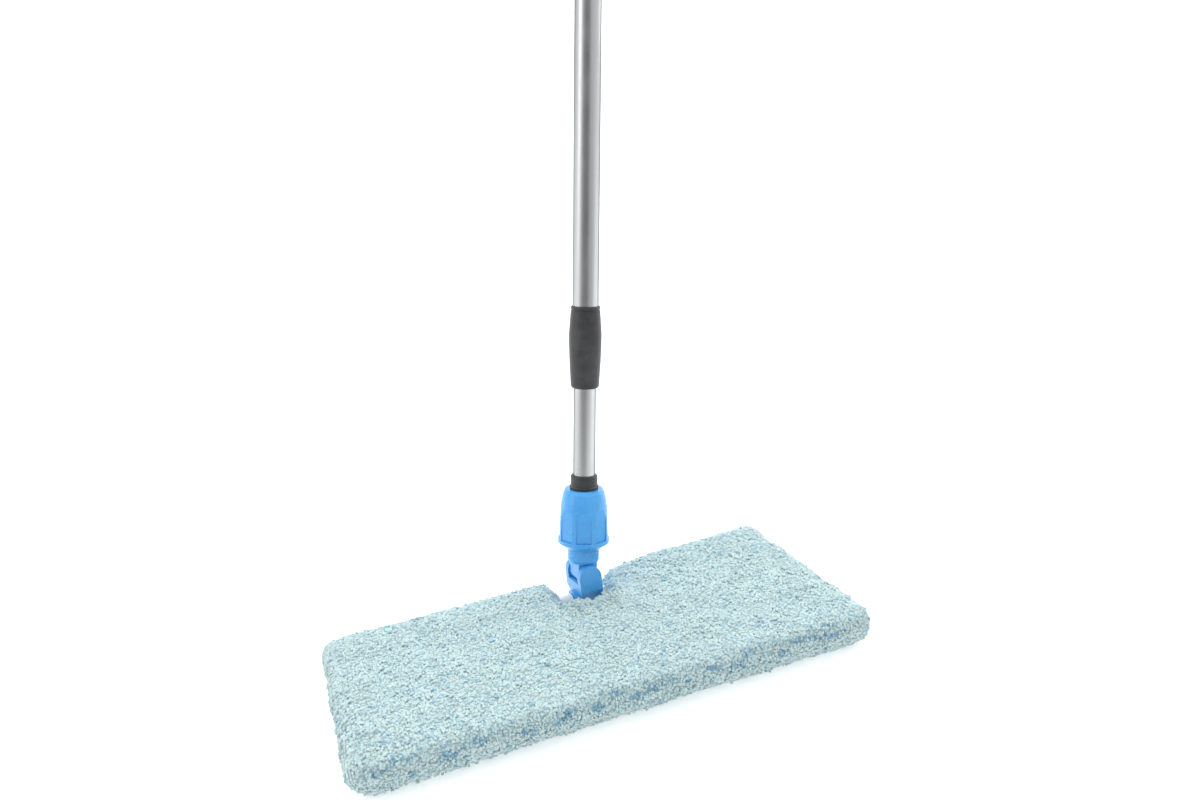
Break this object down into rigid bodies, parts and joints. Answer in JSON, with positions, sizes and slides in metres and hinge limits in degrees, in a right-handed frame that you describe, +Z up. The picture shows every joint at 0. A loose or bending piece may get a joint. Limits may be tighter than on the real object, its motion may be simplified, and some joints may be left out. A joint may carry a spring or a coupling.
{
  "type": "flat mop",
  "caption": "Flat mop with a plush sleeve over a flippable rectangular head, a two-way hinged joint, a screw clamp and a telescopic tube handle.",
  "frame": {"origin": "on the floor, in the middle of the frame's sole", "axes": "+Z up, X along the head, +Y towards the notched rear edge that the pole stands in; at rest the pole leans 13.5 degrees to +Y and 6.7 degrees to +X"},
  "size_m": [0.4596, 0.3602, 0.8669],
  "materials": {
    "plush": "deep looped microfibre plush with blue flecks",
    "closure_tape": "hook and loop tape",
    "frame_plastic": "moulded, satin",
    "joint_plastic": "moulded, glossy blue",
    "black_plastic": "moulded, satin black",
    "grip_rubber": "soft matt grip",
    "tube_metal": "drawn tube, satin",
    "steel": "zinc plated"
  },
  "bodies": {
    "head": {"plush_cover": "plush", "closure_hook_left": "closure_tape", "closure_loop_left": "closure_tape", "closure_hook_right": "closure_tape", "closure_loop_right": "closure_tape", "frame_upper_shell": "frame_plastic", "frame_lower_shell": "frame_plastic", "frame_screws": "steel", "hinge_block_left": "joint_plastic", "hinge_block_right": "joint_plastic", "flip_pin": "steel"},
    "link": {"swivel_link": "joint_plastic"},
    "neck": {"socket_neck": "joint_plastic"},
    "collet": {"clamp_collet": "black_plastic"},
    "nut": {"clamp_nut": "joint_plastic"},
    "lower_pole": {"lower_tube": "tube_metal", "lock_plug": "black_plastic", "lock_stud": "steel", "lock_end_stop": "steel"},
    "lock": {"lock_expander": "black_plastic"},
    "upper_pole": {"upper_tube": "tube_metal", "coupling_sleeve": "black_plastic", "guide_bush": "black_plastic", "hand_grip": "grip_rubber", "end_cap": "black_plastic"}
  },
  "joints": [
    {"name": "flip_hinge", "type": "hinge", "parent": "head", "child": "link", "pos_m": [0, 0.0592, 0.0155], "axis": [-1, 0, 0], "range_deg": [-17.5, 170.5]},
    {"name": "side_tilt", "type": "hinge", "parent": "link", "child": "neck", "pos_m": [0, 0.06478, 0.03874], "axis": [0, 0.9724, -0.2334], "range_deg": [-46.7, 33.3]},
    {"name": "collet_release", "type": "slide", "parent": "neck", "child": "collet", "axis": [0.1167, 0.2319, 0.9657], "range_m": [0, 0.00501]},
    {"name": "nut_turn", "type": "hinge", "parent": "collet", "child": "nut", "pos_m": [0.00519, 0.0751, 0.08171], "axis": [0.1167, 0.2319, 0.9657], "range_deg": [0, 450]},
    {"name": "handle_pull_out", "type": "slide", "parent": "neck", "child": "lower_pole", "axis": [0.1167, 0.2319, 0.9657], "range_m": [0, 0.034]},
    {"name": "twist_lock", "type": "hinge", "parent": "lower_pole", "child": "lock", "pos_m": [0.07951, 0.22279, 0.69688], "axis": [0.1167, 0.2319, 0.9657], "range_deg": [-180, 0]},
    {"name": "telescope", "type": "slide", "parent": "lock", "child": "upper_pole", "axis": [0.1167, 0.2319, 0.9657], "range_m": [-0.066, 0.42]}
  ],
  "couplings": [
    {"joint": "collet_release", "follows": "nut_turn", "m_per_rad": 0.00063662}
  ]
}
